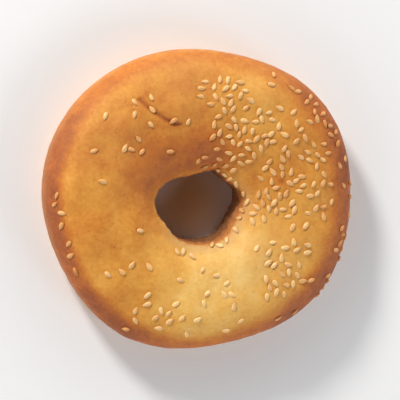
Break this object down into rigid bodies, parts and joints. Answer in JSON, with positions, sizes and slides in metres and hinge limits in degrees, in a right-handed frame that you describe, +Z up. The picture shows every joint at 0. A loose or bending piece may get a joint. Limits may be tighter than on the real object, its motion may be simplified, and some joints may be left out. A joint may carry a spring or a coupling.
{
  "type": "bagel",
  "caption": "Thin ring-shaped bagel with a golden crust, a small hole off its centre and sesame seeds on top, flat underneath.",
  "frame": {"origin": "centre of the bounding box's bottom, on the plane that the flat underside rests on", "axes": "+Z up through the hole, out of the seeded top; +Y towards the side that was uppermost in the picture; +X towards the densely seeded side"},
  "size_m": [0.1024, 0.0968, 0.0224],
  "materials": {
    "crust": "baked golden brown crust, matt with a faint egg-wash sheen; matte_plastic stands in for bread",
    "sesame": "toasted white sesame seed, satin; matte_plastic stands in for seed"
  },
  "bodies": {
    "root": {"bagel": "crust"}
  },
  "joints": []
}
